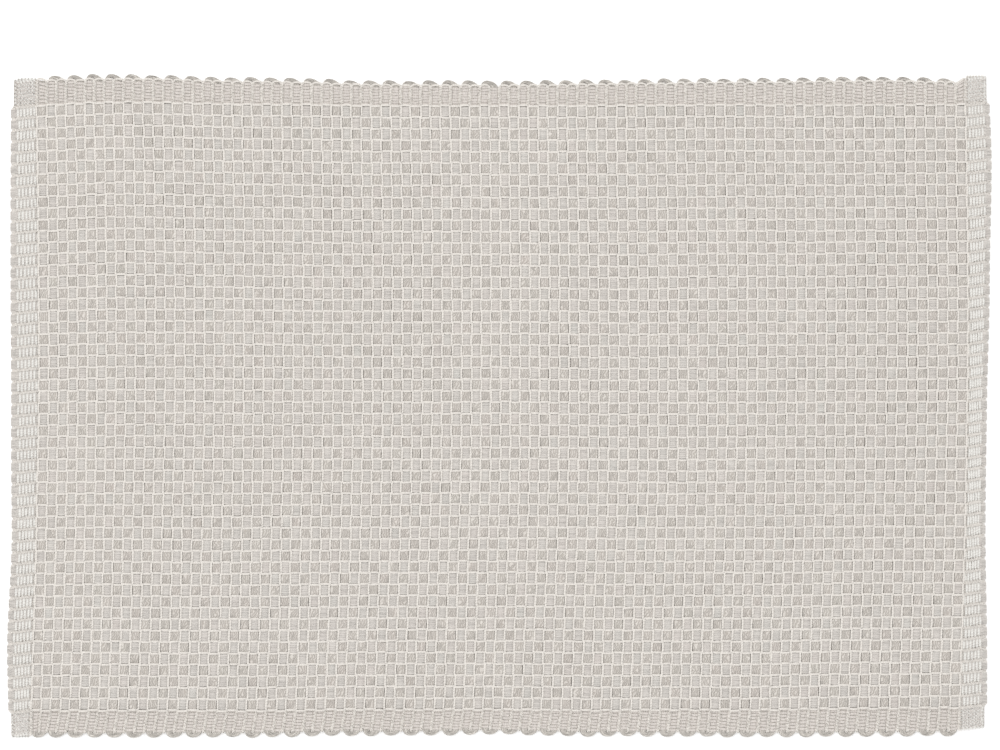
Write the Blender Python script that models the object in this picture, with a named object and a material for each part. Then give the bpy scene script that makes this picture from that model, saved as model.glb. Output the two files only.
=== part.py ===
"""A ribbed cotton placemat lying flat, its two short ends turned under as hems.

The cloth is one solid. Its thick weft yarn runs across the mat, from one long edge to the
other, and each turn of it makes a rounded rib. At the long edges the yarn turns back, so two
neighbouring ribs end in one scallop. At the short ends the cloth is woven finer and thinner,
folded under and laid back against the last rib.

Metres, X along the mat, Y across it, Z up. The origin is under the middle of the mat.
"""

import math

import bmesh
import bpy

# The weave, counted and measured across the face
COLUMNS = 94
ROWS = 53
COLUMN_PITCH = 0.00483

# The cloth
CLOTH_THICK = 0.0032
RIB_DEPTH = 0.0007
EDGE_THICK = 0.0026
EDGE_ROUND = 0.0009

# Where a rib's valley and its two shoulders lie, in parts of a column, with their depth in ribs
RIB_SHAPE = (
    # along, depth
    (0.0, 1.0),
    (0.28, 0.0),
    (0.72, 0.0),
)

# Cross lines at which each rib is drawn, in rows from the front edge
RIB_STATIONS = (0.0, ROWS / 3, 2 * ROWS / 3, float(ROWS))

# The turned hems
HEM_LAYER = 0.00135
HEM_THICK = 0.0030
HEM_BACKSET = 0.0004
FOLD_RADIUS = HEM_THICK / 2
FOLD_TURN = (90, 50, 0, -50, -90)
END_BULGE = 0.0008
WEAK_BULGE = 0.0005

# The scallops of the long edges
SCALLOP_DEPTH = 0.0021

# The mat was woven and pressed a little out of square, and its ribs slant in the front border
LEAN = 0.0095
LEAN_SHIFT = -0.0002
FRONT_SLANT = -0.0013
SLANT_SPREAD = 0.0026
SLANT_FADE_COLUMNS = 2

# Heights of the four lines that run along the mat, measured at places along it
LONG_LINES = (
    # x, front edge, first row, last row, back edge
    (-0.240, -0.1612, -0.1484, 0.1470, 0.1610),
    (-0.185, -0.1617, -0.1484, 0.1487, 0.1620),
    (-0.120, -0.1612, -0.1484, 0.1480, 0.1609),
    (-0.060, -0.1608, -0.1480, 0.1472, 0.1592),
    (0.000, -0.1600, -0.1478, 0.1470, 0.1588),
    (0.060, -0.1608, -0.1481, 0.1468, 0.1591),
    (0.120, -0.1612, -0.1479, 0.1473, 0.1601),
    (0.185, -0.1612, -0.1475, 0.1475, 0.1610),
    (0.240, -0.1610, -0.1472, 0.1477, 0.1600),
)

# The two hem folds, measured at places across the mat
HEM_FOLDS = (
    # y, left fold, right fold
    (-0.160, -0.2379, 0.2374),
    (-0.120, -0.2386, 0.2374),
    (-0.060, -0.2362, 0.2366),
    (0.000, -0.2367, 0.2374),
    (0.060, -0.2369, 0.2384),
    (0.120, -0.2368, 0.2393),
    (0.160, -0.2366, 0.2382),
)

# Where each hem's upper and under layers end, front and back
HEM_ENDS = {
    # side: (front of upper, front of under, back of upper, back of under)
    -1: (-0.1600, -0.1602, 0.1592, 0.1608),
    1: (-0.1579, -0.1577, 0.1598, 0.1602),
}
HEM_RISE = {-1: -0.0004, 1: 0.0011}

COTTON_COLOUR = (0.62, 0.58, 0.54, 1.0)
COTTON_ROUGHNESS = 0.95


def smooth_between(table, place, column):
    """The table's column at a place, eased from one row to the next."""
    if place <= table[0][0]:
        return table[0][column]
    for before, after in zip(table, table[1:]):
        if place <= after[0]:
            share = (place - before[0]) / (after[0] - before[0])
            share = share * share * (3 - 2 * share)
            return before[column] + (after[column] - before[column]) * share
    return table[-1][column]


def column_x(column, y):
    """Where a column line stands at height y on the mat."""
    return COLUMN_PITCH * (column - COLUMNS / 2) + LEAN * y + LEAN_SHIFT


def row_y(row, x):
    """Where a row line lies at x, in rows counted from the front."""
    first = smooth_between(LONG_LINES, x, 2)
    last = smooth_between(LONG_LINES, x, 3)
    return first + (last - first) * row / ROWS


def border_slant(column):
    """How far a rib's front end is drawn aside. The two hems hold the outer ribs straight."""
    from_hem = min(column, COLUMNS - column) / SLANT_FADE_COLUMNS
    return (FRONT_SLANT + SLANT_SPREAD * column_x(column, 0)) * min(1.0, from_hem)


def scallop(column, loop_centre):
    """How far an edge falls back from the top of its loop; each loop spans two columns."""
    across = (column - loop_centre) % 2
    across = min(across, 2 - across)
    return SCALLOP_DEPTH * (1 - math.sqrt(1 - across * across))


def rib_ring(column, depth):
    """The outline of one cut through the cloth along a rib, front underside first.

    depth is how far the cut's top lies below the rib's crown.
    """
    middle_x = column_x(column, 0)
    front = smooth_between(LONG_LINES, middle_x, 1) + scallop(column, 1)
    back = smooth_between(LONG_LINES, middle_x, 4) - scallop(column, 0)
    front_x = column_x(column, front) + border_slant(column)
    back_x = column_x(column, back)
    crown = CLOTH_THICK - depth
    edge_top = EDGE_THICK - depth / 2
    ring = [
        (front_x, front + EDGE_ROUND, 0.0),
        (front_x, front, edge_top / 2),
        (front_x, front + EDGE_ROUND, edge_top),
    ]
    for row in RIB_STATIONS:
        y = row_y(row, middle_x)
        ring.append((column_x(column, y), y, crown))
    ring.append((back_x, back - EDGE_ROUND, edge_top))
    ring.append((back_x, back, edge_top / 2))
    ring.append((back_x, back - EDGE_ROUND, 0.0))
    return ring


def row_bulge(row):
    """How far a row's end swells past the fold; every other row swells more."""
    strength = END_BULGE if int(row) % 2 == 0 else WEAK_BULGE
    return strength * abs(math.sin(math.pi * row))


def hem_ring(side, place_of, ends, rows, swell=0.0):
    """The outline of one cut across a hem layer.

    place_of gives x and z on the layer's outer and inner faces for a height y, and ends are
    the layer's two ends. rows are the cross lines at which its outer face is drawn, and swell
    is the share of the rows' bulges that this cut shows.
    """
    front, back = ends
    line_x = column_x(0 if side < 0 else COLUMNS, 0)
    lift = HEM_RISE[side]

    def spot(y, inner, out=0.0):
        (outer_x, outer_z), (inner_x, inner_z) = place_of(y)
        if inner == 0:
            return (outer_x + side * out, y, outer_z)
        if inner == 1:
            return (inner_x, y, inner_z)
        return ((outer_x + inner_x) / 2, y, (outer_z + inner_z) / 2)

    inset = EDGE_ROUND / 2
    ring = [spot(front + inset, 1), spot(front, 0.5), spot(front + inset, 0)]
    for row in rows:
        ring.append(spot(row_y(row, line_x) + lift, 0, swell * row_bulge(row)))
    ring.append(spot(back - inset, 0))
    ring.append(spot(back, 0.5))
    ring.append(spot(back - inset, 1))
    return ring


def hem_rings(side):
    """Every cut of one hem, from the last rib out to the fold and back under it."""
    fold_column = 1 if side < 0 else 2
    rib_line = 0 if side < 0 else COLUMNS
    front_upper, front_under, back_upper, back_under = HEM_ENDS[side]
    slot_top = HEM_THICK - HEM_LAYER

    def fold_x(y):
        return smooth_between(HEM_FOLDS, y, fold_column) - side * FOLD_RADIUS

    def at_rib(y):
        x = column_x(rib_line, y)
        return (x + side * 0.0012, HEM_THICK), (x + side * 0.0001, slot_top)

    def under_end(y):
        x = column_x(rib_line, y) + side * HEM_BACKSET
        return (x, 0.0), (x, HEM_LAYER)

    def round_fold(degrees):
        turn = math.radians(degrees)
        inner_radius = FOLD_RADIUS - HEM_LAYER

        def place_of(y):
            x = fold_x(y)
            return tuple(
                (x + side * radius * math.cos(turn), FOLD_RADIUS + radius * math.sin(turn))
                for radius in (FOLD_RADIUS, inner_radius)
            )

        return place_of

    half_rows = [half / 2 for half in range(2 * ROWS + 1)]
    rings = [hem_ring(side, at_rib, (front_upper, back_upper), RIB_STATIONS)]
    for number, degrees in enumerate(FOLD_TURN):
        under = number / (len(FOLD_TURN) - 1)
        ends = (
            front_upper + (front_under - front_upper) * under / 2,
            back_upper + (back_under - back_upper) * under / 2,
        )
        rings.append(
            hem_ring(
                side,
                round_fold(degrees),
                ends,
                half_rows,
                math.cos(math.radians(degrees)),
            )
        )
    rings.append(hem_ring(side, under_end, (front_under, back_under), RIB_STATIONS))
    return rings


def cloth_rings():
    """Every cut of the cloth in order, from the left hem's end to the right one's."""
    ribs = [
        rib_ring(column + along, RIB_DEPTH * depth)
        for column in range(COLUMNS)
        for along, depth in RIB_SHAPE
    ]
    ribs.append(rib_ring(COLUMNS, RIB_DEPTH))
    left = hem_rings(-1)
    left.reverse()
    return left + ribs + hem_rings(1)


def ring_edges(mesh, points):
    """A closed ring of edges through the points."""
    corners = [mesh.verts.new(point) for point in points]
    return [
        mesh.edges.new((first, second))
        for first, second in zip(corners, corners[1:] + corners[:1])
    ]


def skinned(rings):
    """One closed body: each ring bridged to the next, and the two end rings filled."""
    mesh = bmesh.new()
    loops = [ring_edges(mesh, points) for points in rings]
    for before, after in zip(loops, loops[1:]):
        bmesh.ops.bridge_loops(mesh, edges=before + after)
    for end in (loops[0], loops[-1]):
        bmesh.ops.contextual_create(mesh, geom=end)
    bmesh.ops.recalc_face_normals(mesh, faces=mesh.faces)
    return mesh


def centred(mesh):
    """Moves the body so that the origin lies under the middle of its box."""
    shift = [0.0, 0.0, 0.0]
    for axis in (0, 1):
        places = [corner.co[axis] for corner in mesh.verts]
        shift[axis] = -(min(places) + max(places)) / 2
    bmesh.ops.translate(mesh, verts=mesh.verts, vec=shift)
    return mesh


def cotton():
    """Unbleached cotton with a warm grey cast."""
    material = bpy.data.materials.new("cotton")
    material.use_nodes = True
    shader = material.node_tree.nodes["Principled BSDF"]
    shader.inputs["Base Color"].default_value = COTTON_COLOUR
    shader.inputs["Roughness"].default_value = COTTON_ROUGHNESS
    shader.inputs["Metallic"].default_value = 0.0
    return material


def placemat_cloth():
    """The whole mat as one object."""
    mesh = centred(skinned(cloth_rings()))
    data = bpy.data.meshes.new("placemat_cloth")
    mesh.to_mesh(data)
    mesh.free()
    data.materials.append(cotton())
    data.shade_smooth()
    data.set_sharp_from_angle(angle=math.radians(60))
    cloth = bpy.data.objects.new("placemat_cloth", data)
    bpy.context.scene.collection.objects.link(cloth)
    return cloth


def main():
    for old in list(bpy.data.objects):
        bpy.data.objects.remove(old)
    placemat_cloth()


main()
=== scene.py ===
# %% [markdown]
# # A ribbed cotton placemat
# The real mat is nothing but yarn. Thick soft weft runs across it and makes the ribs, bundles of
# fine warp run along it, and pairs of thin cream yarn lie between both. Here every one of those
# yarns is made as its own tube and woven over and under the others. A flat cloth with a printed
# checker would be quicker, but its edges, its back and its low relief would not be real.

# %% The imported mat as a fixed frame
import math

import bmesh
import bpy
import numpy as np
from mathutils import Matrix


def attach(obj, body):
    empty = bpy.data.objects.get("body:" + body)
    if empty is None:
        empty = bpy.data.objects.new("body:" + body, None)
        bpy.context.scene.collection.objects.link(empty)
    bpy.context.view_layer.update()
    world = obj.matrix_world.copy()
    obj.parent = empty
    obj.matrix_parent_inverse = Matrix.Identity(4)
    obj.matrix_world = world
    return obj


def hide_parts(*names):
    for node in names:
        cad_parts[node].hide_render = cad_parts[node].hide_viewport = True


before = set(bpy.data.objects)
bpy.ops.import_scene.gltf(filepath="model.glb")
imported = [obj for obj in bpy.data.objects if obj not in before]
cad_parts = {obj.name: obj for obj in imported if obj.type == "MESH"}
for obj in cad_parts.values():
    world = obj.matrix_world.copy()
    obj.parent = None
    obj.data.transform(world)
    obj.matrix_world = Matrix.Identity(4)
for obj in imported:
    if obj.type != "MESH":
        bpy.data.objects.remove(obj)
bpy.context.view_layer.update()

# %% [markdown]
# ## The weave in numbers
# A weaver plans a cloth as numbered yarns. The warps run along the mat (X) and the wefts across
# it (Y). The plan repeats three yarns each way: one thick or bundled, two thin. With all yarns
# numbered in order, plain weave is one rule: a weft passes over a warp when the sum of their two
# numbers is even. The checkered face follows from that rule alone.

# %% Counts and yarn numbers
COLUMNS = 94
ROWS = 53
COLUMN_PITCH = 0.00483
BORDER_WARPS = 14
HEM_PICKS = 27
REPEAT = 3

THICK_WEFTS = REPEAT * np.arange(COLUMNS)
THIN_WEFTS = np.array([REPEAT * line + place for line in range(COLUMNS + 1) for place in (-2, -1)])
BUNDLES = REPEAT * np.arange(ROWS)
THIN_WARPS = np.array([REPEAT * line + place for line in range(ROWS + 1) for place in (-2, -1)])
FRONT_WARPS = -REPEAT - np.arange(BORDER_WARPS)
BACK_WARPS = REPEAT * ROWS + np.arange(BORDER_WARPS)
LEFT_PICKS = -REPEAT - np.arange(HEM_PICKS)
RIGHT_PICKS = REPEAT * COLUMNS + np.arange(HEM_PICKS)


def weft_over(wefts, warps):
    """+1 where a weft passes over a warp and -1 where it passes under, for all pairs."""
    total = np.asarray(wefts)[:, None] + np.asarray(warps)[None, :]
    return np.where(total % 2 == 0, 1.0, -1.0)


print("ribs with weft on top in the first row:", int((weft_over(THICK_WEFTS, BUNDLES[:1]) > 0).sum()))

# %% [markdown]
# ## The shape that the cloth lies in
# The mat is a little out of square, its long sides draw in towards the middle, and its two hems
# are not quite straight. The part's source states this in two short tables, repeated here, and
# values are eased from one line of a table to the next. Between the edges the ribs and rows
# wander too, and a few sizes and soft steps are enough to say how.

# %% Sizes of the lying cloth, in metres
CLOTH_THICK = 0.0032
HEM_LAYER = 0.00135
HEM_THICK = 0.0030
HEM_BACKSET = 0.0004
HEM_LENGTH = 0.0250
FOLD_RADIUS = HEM_THICK / 2
FOLD_MIDDLE = FOLD_RADIUS - HEM_LAYER / 2
HEM_STEP = 0.0016
ROW_SWELL = 0.0015
HEM_FULLNESS = 0.00042
LEAN = 0.0095
LEAN_SHIFT = -0.0002
FRONT_SLANT = -0.0013
SLANT_SPREAD = 0.0026
SLANT_FADE_COLUMNS = 2
BORDER_WIDTH = 0.0105
LOOP_REACH = {"front": 0.0026, "back": 0.0030}
MAT_SHIFT = np.array([-0.00034, -0.00014, 0.0])

LONG_LINES = np.array([
    # x, front edge, first row, last row, back edge
    (-0.240, -0.1612, -0.1484, 0.1470, 0.1610),
    (-0.185, -0.1617, -0.1484, 0.1487, 0.1620),
    (-0.120, -0.1612, -0.1484, 0.1480, 0.1609),
    (-0.060, -0.1608, -0.1480, 0.1472, 0.1592),
    (0.000, -0.1600, -0.1478, 0.1470, 0.1588),
    (0.060, -0.1608, -0.1481, 0.1468, 0.1591),
    (0.120, -0.1612, -0.1479, 0.1473, 0.1601),
    (0.185, -0.1612, -0.1475, 0.1475, 0.1610),
    (0.240, -0.1610, -0.1472, 0.1477, 0.1600),
])
HEM_FOLDS = np.array([
    # y, left fold, right fold
    (-0.160, -0.2379, 0.2374),
    (-0.120, -0.2386, 0.2374),
    (-0.060, -0.2362, 0.2366),
    (0.000, -0.2367, 0.2374),
    (0.060, -0.2369, 0.2384),
    (0.120, -0.2368, 0.2393),
    (0.160, -0.2366, 0.2382),
])
HEM_ENDS = {
    # side: (front of upper, front of under, back of upper, back of under)
    -1: (-0.1600, -0.1602, 0.1592, 0.1608),
    1: (-0.1579, -0.1577, 0.1598, 0.1602),
}
HEM_RISE = {-1: -0.0010, 1: 0.0011}
LEFT_PULL = 0.0011
LEFT_PULL_COLUMNS = 10
RIGHT_PULL = 0.0012
RIGHT_PULL_COLUMNS = 14
LEFT_SHIFT = 0.0008
SHIFT_FROM = 40
SHIFT_COLUMNS = 14
BOW_ENDS = -0.0014
BOW_RISE = 0.0023
ROW_SAG = 0.0005
SAG_ROWS = 28


def smooth(share):
    """A soft step from 0 to 1."""
    share = np.clip(share, 0.0, 1.0)
    return share * share * (3 - 2 * share)


def eased(table, place, column):
    """A table's column at many places, eased from one row to the next."""
    after = np.clip(np.searchsorted(table[:, 0], place), 1, len(table) - 1)
    before = after - 1
    share = smooth((place - table[before, 0]) / (table[after, 0] - table[before, 0]))
    return table[before, column] + (table[after, column] - table[before, column]) * share


def column_x(column, y):
    """Where a straight column line would stand at height y on the mat."""
    return COLUMN_PITCH * (column - COLUMNS / 2) + LEAN * y + LEAN_SHIFT


def column_stray(column, row):
    """How far a real column line is from the straight one, as the cloth was beaten and pressed.

    Both hems pull their nearest columns to the right, the left part lies a little further over,
    and every column bows to the right in the middle of the mat.
    """
    left = LEFT_PULL * (1 - smooth(column / LEFT_PULL_COLUMNS))
    right = RIGHT_PULL * (1 - smooth((COLUMNS - column) / RIGHT_PULL_COLUMNS))
    shift = LEFT_SHIFT * (1 - smooth((column - SHIFT_FROM) / SHIFT_COLUMNS))
    bow = BOW_ENDS + BOW_RISE * np.sin(math.pi * np.clip(row / ROWS, 0, 1))
    return left + right + shift + bow


def row_stray(row):
    """How far the rows lie in front of evenly spaced ones: none in front, and more from there on."""
    return -ROW_SAG * smooth(row / SAG_ROWS)


# %% [markdown]
# ## A cloth coordinate system
# Every yarn is drawn in the weave's own coordinates: columns along, rows across, and a height
# above the middle of the cloth. One function lays those coordinates on the real mat. Past the
# last rib the cloth becomes thinner, rises a little, turns down around the fold and comes back
# underneath, so the hems are folded by the same function that lays the flat middle.

# %% Small wanderings of the yarns
DRIFT_WAVES = (
    # across columns, across rows, phase along, phase across, size
    (0.11, 0.05, 0.4, 2.1, 0.00011),
    (-0.07, 0.16, 1.9, 0.3, 0.00010),
    (0.23, -0.12, 3.1, 4.4, 0.00007),
    (0.05, 0.31, 5.2, 1.2, 0.00006),
    (0.41, 0.22, 2.6, 5.7, 0.00005),
    (-0.34, 0.47, 0.9, 3.6, 0.00004),
)


def drift(u, v):
    """How far the yarns stray from the plan at a place, along and across the mat."""
    along = sum(size * np.sin(a * u + b * v + p) for a, b, p, _, size in DRIFT_WAVES)
    across = sum(size * np.cos(a * u - b * v + q) for a, b, _, q, size in DRIFT_WAVES)
    return along, across


# %% From weave coordinates to the mat
def edge_line(u, line_x, turned, which):
    """Where the band of border warps ends, at the front or the back."""
    place = 0 if which == "front" else 2
    inward = 1.0 if which == "front" else -1.0
    body = eased(LONG_LINES, line_x, 1 if which == "front" else 4) + inward * LOOP_REACH[which]
    hem = np.zeros_like(u)
    for side, ends in HEM_ENDS.items():
        mine = (u < COLUMNS / 2) if side < 0 else (u >= COLUMNS / 2)
        hem = np.where(mine, ends[place] + (ends[place + 1] - ends[place]) * turned, hem)
    in_hem = smooth(1.0 - np.minimum(u, COLUMNS - u))
    return body + (hem - body) * in_hem


def across_mat(u, v, line_x, turned):
    """The height y of row coordinate v. One unit past the first or last row is a whole border."""
    first = eased(LONG_LINES, line_x, 2)
    last = eased(LONG_LINES, line_x, 3)
    front = edge_line(u, line_x, turned, "front")
    back = edge_line(u, line_x, turned, "back")
    inside = first + (last - first) * np.clip(v, 0, ROWS) / ROWS
    inside = inside + row_stray(np.clip(v, 0, ROWS))
    ahead = np.clip(-v, 0, None)
    behind = np.clip(v - ROWS, 0, None)
    start = first + row_stray(0.0)
    end = last + row_stray(ROWS)
    y = inside + (front - start) * np.minimum(ahead, 1) + (back - end) * np.minimum(behind, 1)
    return y - BORDER_WIDTH * np.maximum(ahead - 1, 0) + BORDER_WIDTH * np.maximum(behind - 1, 0)


def on_cloth(u, v, height):
    """Points on the mat and the cloth's normals there, for arrays of weave coordinates."""
    u, v, height = (np.array(part, float) for part in np.broadcast_arrays(u, v, height))
    side = np.where(u < COLUMNS / 2, -1.0, 1.0)
    past = np.maximum(0.0, np.maximum(-u, u - COLUMNS)) * COLUMN_PITCH
    line_x = column_x(np.clip(u, 0, COLUMNS), 0.0)
    y = across_mat(u, v, line_x, smooth((past / HEM_LENGTH - 0.35) / 0.3))
    rise = np.where(side < 0, HEM_RISE[-1], HEM_RISE[1])
    y = y + rise * smooth(past / (HEM_LENGTH / 2))

    fold = np.where(side < 0, eased(HEM_FOLDS, y, 1), eased(HEM_FOLDS, y, 2)) - side * FOLD_RADIUS
    row = np.clip(v, 0, ROWS)
    rib_x = column_x(np.clip(u, 0, COLUMNS), y) + column_stray(np.clip(u, 0, COLUMNS), row)
    last_rib = np.where(side < 0, 0, COLUMNS)
    hem_line = column_x(last_rib, y) + column_stray(last_rib, row)
    upper = np.abs(fold - hem_line)
    turn = math.pi * FOLD_MIDDLE
    past = past * (2 * upper + turn - HEM_BACKSET) / HEM_LENGTH
    angle = np.clip((past - upper) / FOLD_MIDDLE, 0, math.pi)
    under = np.maximum(0.0, past - upper - turn)
    swell = ROW_SWELL * np.abs(np.sin(math.pi * row)) ** 0.8
    round_fold = (FOLD_MIDDLE + HEM_FULLNESS + swell) * np.sin(angle)
    hem_x = hem_line + side * (np.minimum(past, upper) + round_fold - under)
    hem_z = FOLD_RADIUS + FOLD_MIDDLE * np.cos(angle)
    in_hem = past > 0
    x = np.where(in_hem, hem_x, rib_x)
    settle = smooth(past / HEM_STEP)
    z = CLOTH_THICK / 2 + (hem_z - CLOTH_THICK / 2) * settle

    from_hem = np.clip(np.minimum(u, COLUMNS - u) / SLANT_FADE_COLUMNS, 0, 1)
    slant = (FRONT_SLANT + SLANT_SPREAD * line_x) * from_hem * np.clip(-v, 0, 1.2)
    stray_x, stray_y = drift(u, v)
    point = np.stack([x + slant + stray_x, y + stray_y, z], axis=-1) + MAT_SHIFT
    normal = np.stack([side * np.sin(angle), np.zeros_like(z), np.cos(angle)], axis=-1)
    return point + normal * height[..., None], normal


middle, _ = on_cloth(COLUMNS / 2, ROWS / 2, 0.0)
print("the weave's middle lies at", [round(float(value), 4) for value in middle])

# %% [markdown]
# ## Tubes from a rolled grid
# A yarn could be a curve with a bevel, but a curve can't flatten where another yarn presses it.
# So one flat grid is made for a yarn, and an Array copies it for the whole family. Then each
# grid is rolled up round its yarn's path, wide where the yarn lies free and narrow where it is
# pinched. The seam and the two closed ends are welded.

# %% A family of flat strips
def strips(name, count, stations, sides):
    """One flat grid for each yarn of a family, as a mesh."""
    sheet = bmesh.new()
    bmesh.ops.create_grid(sheet, x_segments=stations - 1, y_segments=sides, size=0.5)
    flat = bpy.data.meshes.new(name)
    sheet.to_mesh(flat)
    sheet.free()
    holder = bpy.data.objects.new(name + "_strips", flat)
    bpy.context.scene.collection.objects.link(holder)
    rows = holder.modifiers.new("family", "ARRAY")
    rows.count = count
    rows.use_relative_offset = False
    rows.use_constant_offset = True
    rows.constant_offset_displace = (0.0, 0.0, 1.0)
    mesh = bpy.data.meshes.new_from_object(
        holder.evaluated_get(bpy.context.evaluated_depsgraph_get())
    )
    bpy.data.objects.remove(holder)
    bpy.data.meshes.remove(flat)
    mesh.name = name
    return mesh


# %% The path of each yarn as a line of little frames
TIP = 0.6


def unit(vectors):
    """Vectors of length one."""
    return vectors / np.linalg.norm(vectors, axis=-1, keepdims=True)


def with_tips(values):
    """Repeats the first and last station of every yarn, to close it with a tip."""
    return np.pad(values, ((0, 0), (1, 1)) + ((0, 0),) * (values.ndim - 2), mode="edge")


def framed(path):
    """Each station's centre, the directions aside and above, and what the path says of it."""
    centre, normal = on_cloth(path["u"], path["v"], path["height"])
    ahead = unit(np.gradient(centre, axis=1))
    aside = unit(np.cross(ahead, normal))
    above = np.cross(aside, ahead)
    reach = TIP * path["deep"][:, [0, -1], None] * np.array([[[-1.0], [1.0]]])
    tips = reach * ahead[:, [0, -1]]
    centre = with_tips(centre)
    centre[:, [0, -1]] += tips
    told = {key: with_tips(path[key]) for key in ("wide", "deep", "full", "roll", "shade", "cast")}
    for key in ("wide", "deep"):
        told[key][:, [0, -1]] = 0.0
    return centre, with_tips(aside), with_tips(above), told


# %% Rolling the strips round their paths
WELD = 2e-7
THIN_FULL = 0.3
THICK_SIDES = 6
THIN_SIDES = 3

# Each yarn's patterns start at another place, so that no two show the same streaks.
PATTERN_SHIFT = (0.137, 0.05)


def bulged(turn, full):
    """A sine that stays near its peak longer, for a cut that is fuller than round."""
    wave = np.sin(turn)
    return np.sign(wave) * np.abs(wave) ** (1 - full)


def rolled(name, path, sides, finish):
    """A piece made of closed yarns.

    path holds arrays of one shape, a row for each yarn and a column for each station: u, v and
    height, wide and deep (half sizes), full (0 for an oval cut, towards 1 for a flat one with
    steep sides), roll (the cut's turn), and shade and cast (its colour). shade is a tone that varies
    at random, raised in a few places as painted light.
    """
    path = {"full": np.full_like(path["wide"], THIN_FULL)} | path
    centre, aside, above, told = framed(path)
    count, stations = told["wide"].shape
    mesh = strips(name, count, stations, sides)
    places = np.empty(len(mesh.vertices) * 3, np.float32)
    mesh.vertices.foreach_get("co", places)
    places = places.reshape(-1, 3)
    station = np.rint((places[:, 0] + 0.5) * (stations - 1)).astype(int)
    corner = np.rint((places[:, 1] + 0.5) * sides).astype(int)
    yarn = np.rint(places[:, 2]).astype(int)
    here = (yarn, station)

    turn = 2 * math.pi * (corner % sides) / sides + told["roll"][here]
    out = bulged(turn + math.pi / 2, told["full"][here]) * told["wide"][here]
    up = bulged(turn, told["full"][here]) * told["deep"][here]
    spots = centre[here] + aside[here] * out[:, None] + above[here] * up[:, None]
    mesh.vertices.foreach_set("co", spots.astype(np.float32).ravel())

    steps = np.linalg.norm(np.diff(centre, axis=1), axis=-1)
    along = np.pad(np.cumsum(steps, axis=1), ((0, 0), (1, 0)))
    cut = 2 * math.pi * np.arange(sides + 1) / sides + path["roll"][0, 0]
    rim = np.stack(
        [
            bulged(cut + math.pi / 2, path["full"].mean()) * path["wide"].mean(),
            bulged(cut, path["full"].mean()) * path["deep"].mean(),
        ],
        axis=-1,
    )
    round_rim = np.concatenate([[0.0], np.cumsum(np.linalg.norm(np.diff(rim, axis=0), axis=-1))])
    owner = np.empty(len(mesh.loops), np.int32)
    mesh.loops.foreach_get("vertex_index", owner)
    shift_along, shift_around = PATTERN_SHIFT
    unrolled = np.stack(
        [along[here] + yarn * shift_along, round_rim[corner] + yarn * shift_around],
        axis=-1,
    )
    yarn_map = mesh.uv_layers.new(name="yarn")
    yarn_map.data.foreach_set("uv", unrolled[owner].astype(np.float32).ravel())
    for key in ("shade", "cast"):
        values = mesh.attributes.new(key, "FLOAT", "POINT")
        values.data.foreach_set("value", told[key][here].astype(np.float32))
    return welded(name, mesh, finish)


# %% Welding and fitting out a finished piece
EDGE_ANGLE = math.radians(62)


def welded(name, mesh, finish):
    """Closes the seams and tips of the rolled strips and puts the piece in place of the cloth.

    Edges steeper than EDGE_ANGLE stay crisp, so a pressed yarn looks flat on top.
    """
    body = bmesh.new()
    body.from_mesh(mesh)
    bmesh.ops.remove_doubles(body, verts=body.verts, dist=WELD)
    bmesh.ops.recalc_face_normals(body, faces=body.faces)
    body.to_mesh(mesh)
    body.free()
    mesh.shade_smooth()
    mesh.set_sharp_from_angle(angle=EDGE_ANGLE)
    mesh.materials.append(finish)
    piece = bpy.data.objects.new(name, mesh)
    bpy.context.scene.collection.objects.link(piece)
    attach(piece, "root")
    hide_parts("placemat_cloth")
    triangles = sum(len(face.vertices) - 2 for face in mesh.polygons)
    print(name, "has", triangles, "triangles")
    return piece


# %% [markdown]
# ## Finishes
# All the yarn is cotton in soft natural colours, so it has no gloss. What tells the yarns apart
# is their twist. The thick weft is hardly twisted, and its fibres show as loose slanting
# streaks. The bundles show the fine threads that they are made of, and the thin yarns are
# two-ply. The patterns follow each yarn through its own UV map, in metres along and around it.

# %% Shader maths as Python
class Wire:
    """One socket of a finish. Arithmetic on it adds Math nodes."""

    def __init__(self, finish, socket):
        self.finish = finish
        self.socket = socket

    def maths(self, operation, *values):
        """A Math node on this value and the others."""
        inputs = dict(enumerate((self,) + values))
        return self.finish.node("ShaderNodeMath", {"operation": operation}, inputs)

    def other(self, output):
        """Another output of the same node."""
        return Wire(self.finish, self.socket.node.outputs[output])

    def __add__(self, value):
        return self.maths("ADD", value)

    def __sub__(self, value):
        return self.maths("SUBTRACT", value)

    def __rsub__(self, value):
        inputs = {0: value, 1: self}
        return self.finish.node("ShaderNodeMath", {"operation": "SUBTRACT"}, inputs)

    def __mul__(self, value):
        return self.maths("MULTIPLY", value)

    __radd__ = __add__
    __rmul__ = __mul__


# %% A finish with a short way to add nodes
class Finish:
    """A material with its shader and node tree."""

    def __init__(self, name, roughness):
        self.material = bpy.data.materials.new(name)
        self.material.use_nodes = True
        self.tree = self.material.node_tree
        self.shader = self.tree.nodes["Principled BSDF"]
        self.shader.inputs["Roughness"].default_value = roughness
        self.shader.inputs["Specular IOR Level"].default_value = 0.2

    def node(self, kind, settings, inputs, output=0):
        """Adds a node: its settings first, then values or wires for its sockets."""
        fresh = self.tree.nodes.new(kind)
        for key, value in settings.items():
            setattr(fresh, key, value)
        for key, value in inputs.items():
            if isinstance(value, Wire):
                self.tree.links.new(value.socket, fresh.inputs[key])
            else:
                fresh.inputs[key].default_value = value
        return Wire(self, fresh.outputs[output])

    def mixed(self, share, first, second):
        """A colour between two."""
        inputs = {0: share, 6: first, 7: second}
        return self.node("ShaderNodeMix", {"data_type": "RGBA"}, inputs, output=2)

    def told(self, key):
        """A value that the piece carries at each of its points."""
        settings = {"attribute_name": key, "attribute_type": "GEOMETRY"}
        return self.node("ShaderNodeAttribute", settings, {}, output="Fac")

    def fed(self, socket, wire):
        """Feeds one socket of the shader."""
        self.tree.links.new(wire.socket, self.shader.inputs[socket])


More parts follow.
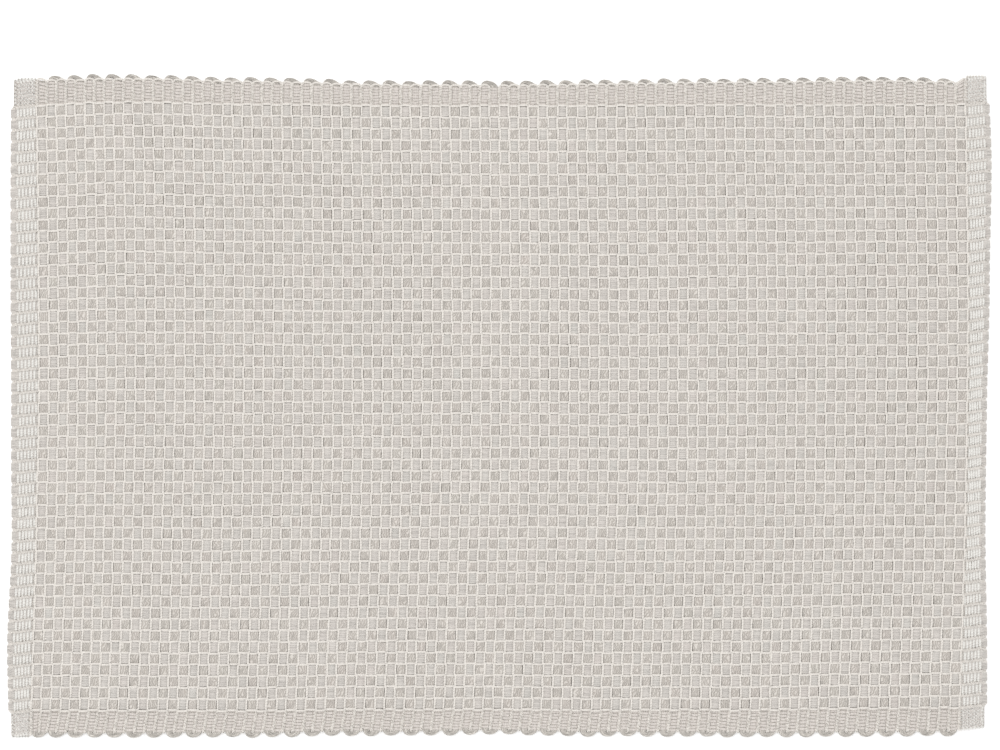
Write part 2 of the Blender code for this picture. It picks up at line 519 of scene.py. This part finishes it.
# %% Colours as a paint mixer sees them
def paint(red, green, blue):
    """A shader colour from the 0 to 255 values of a screen."""
    screen = np.array([red, green, blue]) / 255
    linear = np.where(screen > 0.04045, ((screen + 0.055) / 1.055) ** 2.4, screen / 12.92)
    return tuple(linear) + (1.0,)


def yarn_axes(finish):
    """How far along its yarn and how far around it a point lies, in millimetres."""
    unrolled = finish.node("ShaderNodeUVMap", {"uv_map": "yarn"}, {})
    along = finish.node("ShaderNodeSeparateXYZ", {}, {0: unrolled})
    return along * 1000, along.other(1) * 1000


def grain(finish, along, around, detail):
    """Noise on two stretched axes, about 0 in the middle."""
    spot = finish.node("ShaderNodeCombineXYZ", {}, {0: along, 1: around})
    inputs = {"Vector": spot, "Scale": 1.0, "Detail": detail}
    return finish.node("ShaderNodeTexNoise", {}, inputs) - 0.5


def raised(finish, height, distance):
    """Turns a pattern into relief of the given depth in metres."""
    inputs = {"Strength": 1.0, "Distance": distance, "Height": height}
    finish.fed("Normal", finish.node("ShaderNodeBump", {}, inputs))


# %% [markdown]
# ### Thick weft roving
# The roving is a loose rope of fibres. A straight noise would look like wood, so its streaks are
# bent by a second, larger noise. The same pattern gives the fibres their tone, paints shade into the
# hollows between them, and raises the bump.

# %% The roving's finish
STRAND = 0.9
roving = Finish("roving_cotton", 0.95)
along, around = yarn_axes(roving)
bend = grain(roving, along * 0.33, around * 0.3, 1.0)
sway = grain(roving, along * 0.8 + 40, around * 0.5, 1.0)
strand = (around * (2 * math.pi / STRAND) + along * 0.9 + bend * 22 + sway * 9).maths("SINE")
loose = grain(roving, along * 0.3, around * 1.1 + bend * 6, 1.0)
# strand is part fibre tone and part painted shade in the hollows between fibres.
tone = 0.5 + strand * 0.30 + loose * 0.18 + roving.told("shade") * 0.03
tone = tone.maths("MAXIMUM", 0.0).maths("MINIMUM", 1.0)
warm = roving.mixed(tone, paint(170, 160, 153), paint(227, 219, 213))
cool = roving.mixed(tone, paint(168, 163, 154), paint(223, 220, 212))
roving.fed("Base Color", roving.mixed(roving.told("cast"), warm, cool))
raised(roving, strand * 0.4 + loose, 0.0003)

# %% [markdown]
# ### Warp bundles
# A bundle is six or seven fine threads side by side. A sine across it draws the threads, in the bump
# and as a little painted shade between them, and a noise stretched along it makes some of them stand
# out.

# %% The bundles' finish
THREAD = 0.86
bundle = Finish("bundled_cotton", 0.95)
along, around = yarn_axes(bundle)
wander = grain(bundle, along * 0.12, around * 0.5, 1.0)
threads = (around * (2 * math.pi / THREAD) + wander * 5).maths("SINE")
lines = grain(bundle, along * 0.1, around * 1.5, 2.0)
fuzz = grain(bundle, along * 1.3, around * 1.3, 2.0)
# threads adds a little painted shade between the fine threads.
tone = 0.5 + threads * 0.05 + lines * 0.5 + fuzz * 0.25 + bundle.told("shade") * 0.03
tone = tone.maths("MAXIMUM", 0.0).maths("MINIMUM", 1.0)
warm = bundle.mixed(tone, paint(190, 182, 176), paint(233, 226, 220))
cool = bundle.mixed(tone, paint(187, 183, 177), paint(230, 227, 221))
bundle.fed("Base Color", bundle.mixed(bundle.told("cast"), warm, cool))
raised(bundle, threads * 0.35 + lines, 0.0004)

# %% [markdown]
# ### Thin yarns
# The cream yarn is two threads twisted together. A sine on a slant draws the twist, in the bump and
# as painted shade in the groove between the two threads. The warps in the borders are the same yarn,
# a shade greyer.

# %% The thin yarns' finishes
def plied(name, dark, light, twist=1.3):
    """A two-ply yarn in shades between two colours."""
    finish = Finish(name, 0.95)
    along, around = yarn_axes(finish)
    plies = (along * (2 * math.pi / twist) + around * 2.4).maths("SINE")
    fuzz = grain(finish, along * 0.7, around * 0.8, 2.0)
    # plies paints shade into the groove between the two threads; fuzz is the yarn's own uneven tone.
    tone = 0.5 + plies * 0.12 + fuzz * 0.9 + finish.told("shade") * 0.06
    tone = tone.maths("MAXIMUM", 0.0).maths("MINIMUM", 1.0)
    finish.fed("Base Color", finish.mixed(tone, dark, light))
    raised(finish, plies * 0.4 + fuzz, 0.0003)
    return finish


cream = plied("cream_cotton", paint(219, 213, 206), paint(237, 232, 225))
ecru = plied("ecru_cotton", paint(204, 197, 191), paint(229, 222, 216))
hemming = plied("hem_cotton", paint(224, 222, 217), paint(238, 236, 231))

# %% [markdown]
# ## Stations
# Each yarn is drawn with a few cuts for every yarn that it crosses: where it is pinched, and
# where it lies flat over or under its neighbour. The same plan serves wefts and warps.

# %% Stations and values along a family
CUTS = 3
rng = np.random.default_rng(1994)


def stations(count, places, before, after):
    """Coordinates of the cuts: before the first cell, in each cell, and after the last."""
    cells = (np.arange(count)[:, None] + np.asarray(places)).ravel()
    return np.concatenate([-np.asarray(before)[::-1], cells, count + np.asarray(after)])


def in_line(before, cells, after):
    """One table of values: a column for each cut, each cell's value repeated."""
    return np.concatenate([before, np.repeat(cells, CUTS, axis=1), after], axis=1)


def scatter(yarns, count, ends):
    """Random values for every crossing of a family, with so many more at each end."""
    return in_line(
        rng.normal(size=(yarns, ends)),
        rng.normal(size=(yarns, count)),
        rng.normal(size=(yarns, ends)),
    )


# %% [markdown]
# ## The thick weft
# One endless roving crosses the mat 94 times. It starts at the back left corner, and at each
# long edge it turns back into the next column. Those turns are the scallops: at the front they
# are round and full, and at the back the yarn was pulled tighter and they are thin rims.

# %% One long path from passes and turns
def snake(passes, turns):
    """Joins passes, which alternate in direction, and the turns between them into one yarn."""
    path = {}
    for key, table in passes.items():
        run = []
        for number, one in enumerate(table):
            run.append(one[::-1] if number % 2 == 0 else one)
            if number < len(turns[key]):
                run.append(turns[key][number])
        path[key] = np.concatenate(run)[None, :]
    return path


def turned(count, start, end, rise, angles):
    """Half turns between passes: the even ones at the front and the odd ones at the back.

    start and end are the column coordinates of the two passes that each turn joins.
    """
    swing = np.radians(angles)
    middle = (start + end)[:, None] / 2
    half = (end - start)[:, None] / 2
    front = (np.arange(count) % 2 == 0)[:, None]
    out = 1 + rise[:, None] * np.sin(swing) / BORDER_WIDTH
    return middle - half * np.cos(swing), np.where(front, -out, ROWS + out), front


# %% The roving's passes
ROVING_WIDE = 0.00222
ROVING_PINCHED = 0.00155
ROVING_BORDER = 0.00190
ROVING_DEEP = 0.00102
ROVING_PRESSED = 0.00078
ROVING_FLAT = 0.00052
ROVING_LIFT = 0.00045
ROVING_FULL = 0.84
# Painted light: the roving in the borders is coloured lighter to make up for the shade in the gaps
# between the border bars.
BORDER_PAINTED_LIGHT = 2.5

ENDS = 5
FRONT_CUTS = (np.arange(ENDS) + 0.6) / ENDS
BACK_CUTS = np.arange(ENDS) / (ENDS - 0.5)
roving_v = stations(ROWS, (0.0, 0.22, 0.78), FRONT_CUTS, BACK_CUTS)
shape = (COLUMNS, roving_v.size)
free = np.zeros((1, roving_v.size))
free[0, ENDS:ENDS + CUTS * ROWS] = np.tile([0.0, 1.0, 1.0], ROWS)
in_rows = in_line(np.zeros((1, ENDS)), np.ones((1, ROWS)), np.zeros((1, ENDS)))
over = in_line(
    np.zeros((COLUMNS, ENDS)),
    weft_over(THICK_WEFTS, BUNDLES),
    np.zeros((COLUMNS, ENDS)),
)
row_wide = ROVING_PINCHED + (ROVING_WIDE - ROVING_PINCHED) * free
row_deep = ROVING_PRESSED + (ROVING_DEEP - ROVING_PRESSED) * free
wobble = [scatter(COLUMNS, ROWS, ENDS) for _ in range(6)]
passes = {
    "u": np.arange(COLUMNS)[:, None] + 0.5 + 0.010 * wobble[0],
    "v": np.broadcast_to(roving_v, shape) + 0.012 * wobble[1] * (in_rows > 0),
    "height": ROVING_LIFT * over * free,
    "wide": np.where(in_rows > 0, row_wide, ROVING_BORDER) * (1 + 0.02 * wobble[2]),
    "deep": np.where(in_rows > 0, row_deep, ROVING_FLAT) * (1 + 0.03 * wobble[3]),
    "full": np.full(shape, ROVING_FULL),
    "roll": np.zeros(shape),
    # Outside the rows the shade value is raised by the borders' painted light.
    "shade": np.where(in_rows > 0, wobble[4], 0.5 * wobble[4] + BORDER_PAINTED_LIGHT),
    "cast": np.clip(0.5 + 0.07 * wobble[5], 0, 1),
}

# The two loose ends of the roving reach the very edge.
passes["v"][[0, -1], -1] = ROWS + 1.0
print("one pass of roving has", roving_v.size, "cuts")

# %% The roving's turns
TURN_ANGLES = (20, 43, 66, 90, 114, 137, 160)
FRONT_RISE = 0.00190
BACK_RISE = 0.00228
RISE_SPREAD = 0.08
FRONT_TURN = {"wide": 0.00112, "deep": 0.00085, "lean": -0.04}
BACK_TURN = {"wide": 0.00088, "deep": 0.00070, "lean": -0.27}
# Painted light: the scallops are coloured lighter to make up for the shade on their sloping sides at
# the edges.
TURN_PAINTED_LIGHT = 3.0
TURN_CAST = 0.6
TURN_FULL = 0.7

turn_number = np.arange(COLUMNS - 1)
at_front = turn_number % 2 == 0
rise = np.where(at_front, FRONT_RISE, BACK_RISE) * (1 + RISE_SPREAD * rng.normal(size=COLUMNS - 1))
turn_u, turn_v, front = turned(COLUMNS - 1, turn_number + 0.5, turn_number + 1.5, rise, TURN_ANGLES)
round_share = np.sin(np.radians(TURN_ANGLES))
top = {key: np.where(front, FRONT_TURN[key], BACK_TURN[key]) for key in FRONT_TURN}
turns = {
    "u": turn_u + top["lean"] * round_share,
    "v": turn_v,
    "height": np.zeros_like(turn_u),
    "wide": ROVING_BORDER + (top["wide"] - ROVING_BORDER) * round_share,
    "deep": ROVING_FLAT + (top["deep"] - ROVING_FLAT) * round_share,
    "full": np.full_like(turn_u, TURN_FULL),
    "roll": np.zeros_like(turn_u),
    "shade": np.full_like(turn_u, TURN_PAINTED_LIGHT),
    "cast": np.full_like(turn_u, TURN_CAST),
}
thick_weft = rolled("thick_weft", snake(passes, turns), THICK_SIDES, roving.material)

# %% [markdown]
# ## The thin wefts
# A pair of thin cream wefts lies between every two ribs. One of the pair is over a bundle where
# the other is under it, so together they draw an unbroken cream line. In the borders the same
# alternation makes the line zigzag. The yarn is as endless as the roving: at the front it turns
# back within its pair, and at the back it floats across a rib to the next pair.

# %% The thin wefts' passes
THIN = 0.00051
BORDER_THIN = 0.00068
THIN_SPREAD = 0.06
THIN_DEEP = 0.00048
THIN_APART = 0.040
THIN_LIFT = 0.00122
THIN_BORDER_LIFT = 0.00022
CALM = 0.6
OVER_ROLL = math.radians(150)
UNDER_ROLL = math.radians(90)
CELL_LIFT = np.tile([0.86, 1.0, 0.86], ROWS)
BORDER_PROUD = 0.00070
THIN_TURN_ANGLES = (25, 57, 90, 123, 155)
THIN_FRONT_RISE = 0.0005
THIN_BACK_RISE = 0.0010
THIN_RISE_SPREAD = 0.12
THIN_FRONT_LIFT = 0.0004
THIN_BACK_LIFT = 0.00085
REACH = 0.07
CELL_REACH = np.array([-REACH, 0.0, REACH])

border_place = (np.arange(BORDER_WARPS) + 0.5) / BORDER_WARPS
thin_v = stations(ROWS, (0.10, 0.5, 0.90), border_place, border_place)
inner = slice(BORDER_WARPS, BORDER_WARPS + CUTS * ROWS)


def thin_weft_passes(wefts):
    """Paths of the thin wefts with the given numbers, from front to back."""
    over_all = in_line(
        weft_over(wefts, FRONT_WARPS)[:, ::-1],
        weft_over(wefts, BUNDLES),
        weft_over(wefts, BACK_WARPS),
    )
    border_lift = np.full((1, BORDER_WARPS), THIN_BORDER_LIFT)
    lift = in_line(border_lift, np.full((1, ROWS), THIN_LIFT), border_lift)
    lift[0, inner] *= CELL_LIFT
    proud = np.full_like(lift, BORDER_PROUD)
    proud[0, inner] = 0.0
    reach = np.zeros(over_all.shape)
    reach[:, inner] = np.tile(CELL_REACH, ROWS) * over_all[:, inner]
    line = (wefts + 2) // REPEAT
    beside = np.where((wefts + 2) % REPEAT == 0, -1, 1)
    wander = rng.normal(size=over_all.shape)
    return {
        "u": line[:, None] + beside[:, None] * THIN_APART + 0.010 * wander,
        "v": thin_v + reach,
        "height": over_all * lift + proud,
        "wide": np.where(proud > 0, BORDER_THIN, THIN)
        * (1 + THIN_SPREAD * rng.normal(size=over_all.shape)),
        "deep": np.full(over_all.shape, THIN_DEEP),
        "roll": np.where(over_all > 0, OVER_ROLL, UNDER_ROLL),
        "shade": scatter(len(wefts), ROWS, BORDER_WARPS) * CALM,
        "cast": np.full(over_all.shape, 0.5),
    }


def thin_weft_turns(wefts):
    """The turns of the same yarns: short ones in front, and floats across a rib at the back."""
    line = (wefts + 2) // REPEAT
    beside = np.where((wefts + 2) % REPEAT == 0, -1, 1)
    place = line + beside * THIN_APART
    count = len(wefts) - 1
    top = np.where(np.arange(count) % 2 == 0, THIN_FRONT_RISE, THIN_BACK_RISE)
    rise = top * (1 + THIN_RISE_SPREAD * rng.normal(size=count))
    u, v, front = turned(count, place[:-1], place[1:], rise, THIN_TURN_ANGLES)
    flat = np.zeros_like(u)
    arch = np.sin(np.radians(THIN_TURN_ANGLES))
    return {
        "u": u,
        "v": v,
        "height": np.where(front, THIN_FRONT_LIFT, THIN_BACK_LIFT * arch),
        "wide": flat + THIN,
        "deep": flat + THIN_DEEP,
        "roll": flat + OVER_ROLL,
        "shade": flat + np.where(front, 0.0, -0.6),
        "cast": flat + 0.5,
    }


# %% The thin wefts in two pieces
half_pairs = 2 * (COLUMNS // 2)
for name, wefts in (
    ("thin_wefts_left", THIN_WEFTS[:half_pairs]),
    ("thin_wefts_right", THIN_WEFTS[half_pairs:]),
):
    rolled(name, snake(thin_weft_passes(wefts), thin_weft_turns(wefts)), THIN_SIDES, cream.material)

# %% [markdown]
# ## The warps
# Warps run the whole length of the cloth, through both hems, round their folds and back
# underneath. The bundles lie flat as ribbons where they are on top and make the lighter cells.
# Pairs of thin warps lie between the rows, and 14 thin warps bind each border.

# %% Stations along a warp
HEM_UNIT = HEM_LENGTH / HEM_PICKS / COLUMN_PITCH
AT_FOLD = np.interp(np.arange(HEM_PICKS), (11, 12, 14, 15), (0.0, 1.0, 1.0, 0.0))
PICK_PLACES = (np.arange(HEM_PICKS) + 0.5) * HEM_UNIT
BUNDLE_PLACES = (0.17, 0.5, 0.83)
THIN_PLACES = (0.11, 0.5, 0.89)
CELL_ARCH = np.array([0.84, 1.0, 0.84])


def warp_over(warps):
    """+1 where each of these warps lies over a weft, for every cut along it."""
    return -in_line(
        weft_over(LEFT_PICKS[::-1], warps).T,
        weft_over(THICK_WEFTS, warps).T,
        weft_over(RIGHT_PICKS, warps).T,
    )


def by_part(hem, body):
    """Values for the cuts in the hems, counted outwards, and three for those in each column."""
    hem = np.broadcast_to(hem, HEM_PICKS)
    return np.concatenate([hem[::-1], np.tile(np.asarray(body, float), COLUMNS), hem])


def warp_path(warps, v, places, reach, lift, outward, wide, deep, rolls, shade, cast):
    """Paths of a family of warps. In the hems, outward lifts them off the middle of the cloth."""
    over = warp_over(warps)
    across = np.broadcast_to(np.asarray(v)[:, None], over.shape)
    return {
        "u": stations(COLUMNS, places, PICK_PLACES, PICK_PLACES) + over * by_part(0.0, reach),
        "v": across + 0.009 * rng.normal(size=over.shape),
        "height": over * lift + by_part(outward, (0.0, 0.0, 0.0)),
        "wide": wide * np.ones_like(over),
        "deep": deep * np.ones_like(over),
        "roll": np.where(over > 0, rolls[0], rolls[1]),
        "shade": shade,
        "cast": cast,
    }


# %% The bundles in two pieces
BUNDLE_LIFT = 0.00112
BUNDLE_HEM_LIFT = 0.00024
BUNDLE_FOLD_SINK = 0.00034
BUNDLE_WIDE = (0.00238, 0.00256, 0.00238)
BUNDLE_DEEP = (0.00040, 0.00038, 0.00040)
BUNDLE_HEM_WIDE = 0.00278
BUNDLE_HEM_DEEP = 0.00030
BUNDLE_FOLD_SWELL = 0.00065
# Painted light: in the hems the bundles are coloured lighter to make up for the shade between the
# picks that cover them.
BUNDLE_HEM_PAINTED_LIGHT = 2.0
FRONT_ROWS = 27
for name, warps in (
    ("warp_bundles_front", BUNDLES[:FRONT_ROWS]),
    ("warp_bundles_back", BUNDLES[FRONT_ROWS:]),
):
    tones = scatter(len(warps), COLUMNS, HEM_PICKS)
    in_hem = by_part(1.0, (0.0, 0.0, 0.0)) > 0
    path = warp_path(
        warps,
        warps / REPEAT + 0.5,
        BUNDLE_PLACES,
        reach=(0.0, 0.0, 0.0),
        lift=by_part(BUNDLE_HEM_LIFT * (1 - AT_FOLD), BUNDLE_LIFT * CELL_ARCH),
        outward=-BUNDLE_FOLD_SINK * AT_FOLD,
        wide=by_part(BUNDLE_HEM_WIDE, BUNDLE_WIDE),
        deep=by_part(BUNDLE_HEM_DEEP + BUNDLE_FOLD_SWELL * AT_FOLD, BUNDLE_DEEP),
        rolls=(0.0, 0.0),
        shade=np.where(in_hem, BUNDLE_HEM_PAINTED_LIGHT + 0.3 * tones, tones),
        cast=np.clip(0.5 + 0.15 * scatter(len(warps), COLUMNS, HEM_PICKS), 0, 1),
    )
    path["full"] = by_part(0.8 - 0.4 * AT_FOLD, (0.9, 0.9, 0.9)) * np.ones_like(tones)
    rolled(name, path, THICK_SIDES, bundle.material)

# %% The thin warps in two pieces
THIN_WARP = 0.00057
HEM_THIN_WARP = 0.00074
HEM_THIN_LIFT = 0.00012
HEM_THIN_DEEP = 0.00040
WARP_APART = 0.030
HEM_LINE_LIFT = np.interp(PICK_PLACES, (0.0, 2.0, 2.6, 6.0), (0.00050, 0.00050, 0.00028, 0.00028))
for name, warps in (
    ("thin_warps_front", THIN_WARPS[:2 * FRONT_ROWS]),
    ("thin_warps_back", THIN_WARPS[2 * FRONT_ROWS:]),
):
    line = (warps + 2) // REPEAT
    beside = np.where((warps + 2) % REPEAT == 0, -1, 1)
    tones = scatter(len(warps), COLUMNS, HEM_PICKS) * CALM
    path = warp_path(
        warps,
        line + beside * WARP_APART,
        THIN_PLACES,
        reach=CELL_REACH,
        lift=by_part(HEM_THIN_LIFT, THIN_LIFT * CELL_ARCH),
        outward=HEM_LINE_LIFT,
        wide=by_part(HEM_THIN_WARP, (THIN_WARP, THIN_WARP, THIN_WARP)),
        deep=by_part(HEM_THIN_DEEP, (THIN_DEEP, THIN_DEEP, THIN_DEEP)),
        rolls=(OVER_ROLL, UNDER_ROLL),
        shade=tones,
        cast=np.full(tones.shape, 0.5),
    )
    rolled(name, path, THIN_SIDES, cream.material)

# %% The warps that bind the borders
CORNER_LIFT = 0.00015
CORNER_DEEP = 0.00050
CORNER_SINK = 0.00030
# Painted light: where the border warps cross the hems they are coloured lighter, to make up for the
# shade in the close weave of the corners.
CORNER_PAINTED_LIGHT = 4.0
CORNER_WIDE = 0.00060
BORDER_LIFT = 0.00058
BORDER_WIDE = (0.00055, 0.00061, 0.00055)
BORDER_DEEP = 0.00032
warps = np.concatenate([FRONT_WARPS, BACK_WARPS])
tones = scatter(len(warps), COLUMNS, HEM_PICKS)
path = warp_path(
    warps,
    np.concatenate([-border_place, ROWS + border_place]),
    (0.19, 0.5, 0.81),
    reach=(0.0, 0.0, 0.0),
    lift=by_part(CORNER_LIFT, BORDER_LIFT * CELL_ARCH),
    outward=-CORNER_SINK * (1 - AT_FOLD),
    wide=by_part(CORNER_WIDE, BORDER_WIDE),
    deep=by_part(CORNER_DEEP, (BORDER_DEEP, BORDER_DEEP, BORDER_DEEP)),
    rolls=(OVER_ROLL, UNDER_ROLL),
    shade=tones + by_part(CORNER_PAINTED_LIGHT, (0.0, 0.0, 0.0)),
    cast=np.full(tones.shape, 0.5),
)
rolled("border_warps", path, THIN_SIDES, ecru.material)

# %% [markdown]
# ## The hem wefts
# In the hems the thick weft stops and one thin weft is beaten in pick after pick, which makes a
# thin firm cloth that folds well. It also turns back at both edges.

# %% Both hems' wefts
PICK_WIDE = 0.00053
PICK_DEEP = 0.00040
PICK_LIFT = 0.00034
# Painted light: in the corners the picks are coloured lighter too, to make up for the shade there.
PICK_CORNER_PAINTED_LIGHT = 1.5
HEM_TURN_ANGLES = (40, 90, 140)
HEM_TURN_RISE = 0.0005
HEM_TURN_WIDE = 0.00040
HEM_TURN_DEEP = 0.00030


def hem_passes(picks, side):
    """Paths of one hem's picks, from the rib outwards and under the fold."""
    over_all = in_line(
        weft_over(picks, FRONT_WARPS)[:, ::-1],
        weft_over(picks, BUNDLES),
        weft_over(picks, BACK_WARPS),
    )
    corner_lift = np.full((1, BORDER_WARPS), CORNER_LIFT)
    lift = in_line(corner_lift, np.full((1, ROWS), PICK_LIFT), corner_lift)
    lift[0, inner] *= np.tile([0.6, 1.0, 0.6], ROWS)
    in_corner = np.ones_like(lift)
    in_corner[0, inner] = 0.0
    place = -PICK_PLACES if side < 0 else COLUMNS + PICK_PLACES
    return {
        "u": place[:, None] + 0.012 * rng.normal(size=over_all.shape),
        "v": np.broadcast_to(thin_v, over_all.shape),
        "height": over_all * lift * (1 - 0.7 * AT_FOLD[:, None])
        - CORNER_SINK * in_corner * (1 - AT_FOLD[:, None]),
        "wide": PICK_WIDE * (1 + THIN_SPREAD * rng.normal(size=over_all.shape)),
        "deep": np.where(in_corner > 0, CORNER_DEEP, PICK_DEEP) * np.ones_like(over_all),
        "roll": np.where(over_all > 0, OVER_ROLL, UNDER_ROLL),
        "shade": scatter(len(picks), ROWS, BORDER_WARPS) * CALM
        + PICK_CORNER_PAINTED_LIGHT * in_corner,
        "cast": np.full(over_all.shape, 0.5),
    }


def hem_turns(side):
    """The turns between neighbouring picks of one hem."""
    place = -PICK_PLACES if side < 0 else COLUMNS + PICK_PLACES
    rise = np.full(HEM_PICKS - 1, HEM_TURN_RISE)
    u, v, _ = turned(HEM_PICKS - 1, place[:-1], place[1:], rise, HEM_TURN_ANGLES)
    flat = np.zeros_like(u)
    sizes = {"height": 0.0, "wide": HEM_TURN_WIDE, "deep": HEM_TURN_DEEP}
    sizes |= {"roll": OVER_ROLL, "shade": 0.0, "cast": 0.5}
    return {"u": u, "v": v} | {key: flat + value for key, value in sizes.items()}


for name, picks, side in (
    ("hem_wefts_left", LEFT_PICKS, -1),
    ("hem_wefts_right", RIGHT_PICKS, 1),
):
    rolled(name, snake(hem_passes(picks, side), hem_turns(side)), THIN_SIDES, hemming.material)

# %% [markdown]
# ## The cloth as a whole
# The real yarns together are one woven sheet, while here they are made as several pieces. It was
# about 50 cm long before its two ends were turned under.

# %% [markdown]
# ## Studio
# The photo is taken from straight above on white, in soft light with hardly a shadow. A long
# lens high up keeps the sides parallel, and a big lamp slightly off to the back left gives the
# yarns their soft relief.

# %% The floor
surface = bpy.data.meshes.new("table_top")
board = bmesh.new()
bmesh.ops.create_grid(board, x_segments=1, y_segments=1, size=3.0)
board.to_mesh(surface)
board.free()
table_top = bpy.data.objects.new("table_top", surface)
bpy.context.scene.collection.objects.link(table_top)
white = Finish("white_board", 0.9)
white.shader.inputs["Base Color"].default_value = (0.93, 0.93, 0.93, 1.0)
white.shader.inputs["Emission Color"].default_value = (1.0, 1.0, 1.0, 1.0)
white.shader.inputs["Emission Strength"].default_value = 0.2
surface.materials.append(white.material)


# %% Lamp and sky
SKY_STRENGTH = 0.86


def lamp(name, place, size, power):
    """A square soft lamp that faces the middle of the mat."""
    data = bpy.data.lights.new(name, "AREA")
    data.size = size
    data.energy = power
    light = bpy.data.objects.new(name, data)
    light.location = place
    aside, behind, above = place
    tilt = math.atan2(math.hypot(aside, behind), above)
    light.rotation_euler = (tilt, 0.0, math.atan2(aside, -behind))
    bpy.context.scene.collection.objects.link(light)


lamp("soft_lamp", place=(-1.4, 2.0, 4.4), size=4.8, power=112)
sky = bpy.data.worlds.new("sky")
sky.use_nodes = True
sky.node_tree.nodes["Background"].inputs["Color"].default_value = (1.0, 1.0, 1.0, 1.0)
sky.node_tree.nodes["Background"].inputs["Strength"].default_value = SKY_STRENGTH
bpy.context.scene.world = sky
bpy.context.scene.view_settings.view_transform = "Standard"

# %% The camera
FRAME_WIDTH = 0.488
LENS = 100
SENSOR = 36
FACE_HEIGHT = 0.003
EYE_OVER = (0.0005, 0.0151)
eye = bpy.data.cameras.new("camera")
eye.lens = LENS
eye.sensor_width = SENSOR
height = FRAME_WIDTH * LENS / SENSOR + FACE_HEIGHT
camera = bpy.data.objects.new("camera", eye)
camera.location = (*EYE_OVER, height)
bpy.context.scene.collection.objects.link(camera)
bpy.context.scene.camera = camera
print("the camera stands", round(height, 3), "m above the table")
